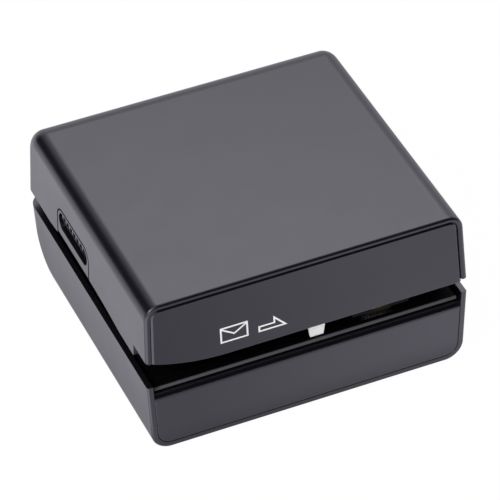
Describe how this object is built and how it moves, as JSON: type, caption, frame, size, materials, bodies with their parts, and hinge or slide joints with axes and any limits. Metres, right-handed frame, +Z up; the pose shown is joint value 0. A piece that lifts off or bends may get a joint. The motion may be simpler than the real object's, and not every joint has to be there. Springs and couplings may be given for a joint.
{
  "type": "electric letter opener",
  "caption": "Battery letter opener in two black shells hinged at the back, with a letter slot across the front, start lever, feed wheels, cutter, gear train and side latch.",
  "frame": {"origin": "middle of the outline on the ground, under the feet", "axes": "+X along the letter's way (width), +Y to the hinged back, +Z up"},
  "size_m": [0.13, 0.125, 0.07],
  "materials": {
    "case_black": "fine satin moulded ABS",
    "panel_black": "polished moulded ABS",
    "frame_black": "matt moulded ABS",
    "sign_white": "white inlay",
    "lever_white": "satin POM",
    "gear_white": "natural POM",
    "steel": "drawn and stamped",
    "spring_steel": "drawn wire",
    "brass": "turned, knurled",
    "bronze": "sintered",
    "rubber": "moulded",
    "zinc": "zinc plated",
    "nickel": "nickel plated",
    "switch_black": "glass-filled, matt",
    "switch_red": "satin",
    "cell_sleeve": "printed sleeve",
    "cap_black": "moulded"
  },
  "bodies": {
    "base": {"base_shell": "case_black", "base_front_panel": "panel_black", "slot_chassis": "frame_black", "latch_clip": "spring_steel", "feed_bush_front": "bronze", "feed_bush_rear": "bronze", "compound_pin": "steel", "motor_can": "steel", "motor_cap": "cap_black", "motor_terminals": "brass", "gear_plate": "steel", "battery_holder": "frame_black", "contact_springs": "nickel", "contact_plates": "nickel", "cell_1": "cell_sleeve", "cell_2": "cell_sleeve", "cell_3": "cell_sleeve", "cell_4": "cell_sleeve", "case_screws": "zinc", "gearbox_screws": "zinc", "motor_screws": "zinc", "foot_1": "rubber", "foot_2": "rubber", "foot_3": "rubber", "foot_4": "rubber", "hinge_pin_1": "steel", "hinge_pin_2": "steel"},
    "cover": {"cover_shell": "case_black", "cover_front_panel": "panel_black", "envelope_sign": "sign_white", "arrow_sign": "sign_white", "guide_plate": "frame_black", "guide_screws": "zinc", "switch_body": "switch_black", "lever_pin": "steel", "lever_spring": "spring_steel", "arm_pin": "steel", "arm_spring": "spring_steel", "latch_spring": "spring_steel"},
    "latch": {"latch_button": "case_black"},
    "lever": {"start_lever": "lever_white"},
    "plunger": {"switch_plunger": "switch_red"},
    "arm": {"pressure_arm": "steel", "pressure_wheel_pin": "steel"},
    "press_wheel": {"pressure_wheel": "brass"},
    "feed": {"feed_shaft": "steel", "feed_hub": "gear_white", "feed_tyre": "rubber", "feed_gear": "gear_white"},
    "compound": {"compound_gear": "gear_white"},
    "rotor": {"motor_shaft": "steel", "motor_pinion": "gear_white", "cutter": "steel"},
    "door": {"battery_door": "case_black"}
  },
  "joints": [
    {"name": "cover_hinge", "type": "hinge", "parent": "base", "child": "cover", "pos_m": [0, 0.0593, 0.0369], "axis": [-1, 0, 0], "range_deg": [0, 85], "deforming": ["latch_clip"]},
    {"name": "latch_push", "type": "slide", "parent": "cover", "child": "latch", "axis": [1, 0, 0], "range_m": [0, 0.002], "stiffness_N_per_m": 400, "springref_m": -0.002, "deforming": ["latch_spring"]},
    {"name": "lever_swing", "type": "hinge", "parent": "cover", "child": "lever", "pos_m": [0.0046, -0.058, 0.052], "axis": [0, -1, 0], "range_deg": [0, 50], "stiffness_Nm_per_rad": 0.002, "springref_deg": -17.19, "deforming": ["lever_spring"]},
    {"name": "plunger_push", "type": "slide", "parent": "cover", "child": "plunger", "axis": [-1, 0, 0], "range_m": [0, 0.00131]},
    {"name": "arm_lift", "type": "hinge", "parent": "cover", "child": "arm", "pos_m": [0.0495, -0.055, 0.05045], "axis": [0, 1, 0], "range_deg": [0, 8], "stiffness_Nm_per_rad": 0.05, "springref_deg": -17.19, "deforming": ["arm_spring"]},
    {"name": "press_wheel_spin", "type": "hinge", "parent": "arm", "child": "press_wheel", "pos_m": [0.0303, -0.055, 0.04245], "axis": [0, 1, 0], "continuous": true},
    {"name": "feed_spin", "type": "hinge", "parent": "base", "child": "feed", "pos_m": [0.0303, -0.05, 0.0201], "axis": [0, 1, 0], "continuous": true},
    {"name": "compound_spin", "type": "hinge", "parent": "base", "child": "compound", "pos_m": [0.03423, -0.043, 0.03664], "axis": [0, 1, 0], "continuous": true},
    {"name": "rotor_spin", "type": "hinge", "parent": "base", "child": "rotor", "pos_m": [0.0455, -0.043, 0.026], "axis": [0, 1, 0], "continuous": true},
    {"name": "door_lift_off", "type": "slide", "parent": "base", "child": "door", "axis": [0, 0, -1], "range_m": [0, 0.03]}
  ],
  "couplings": [
    {"joint": "plunger_push", "follows": "lever_swing", "m_per_rad": 0.0014897},
    {"joint": "compound_spin", "follows": "feed_spin", "ratio": -4.6667},
    {"joint": "rotor_spin", "follows": "feed_spin", "ratio": 19.444}
  ]
}
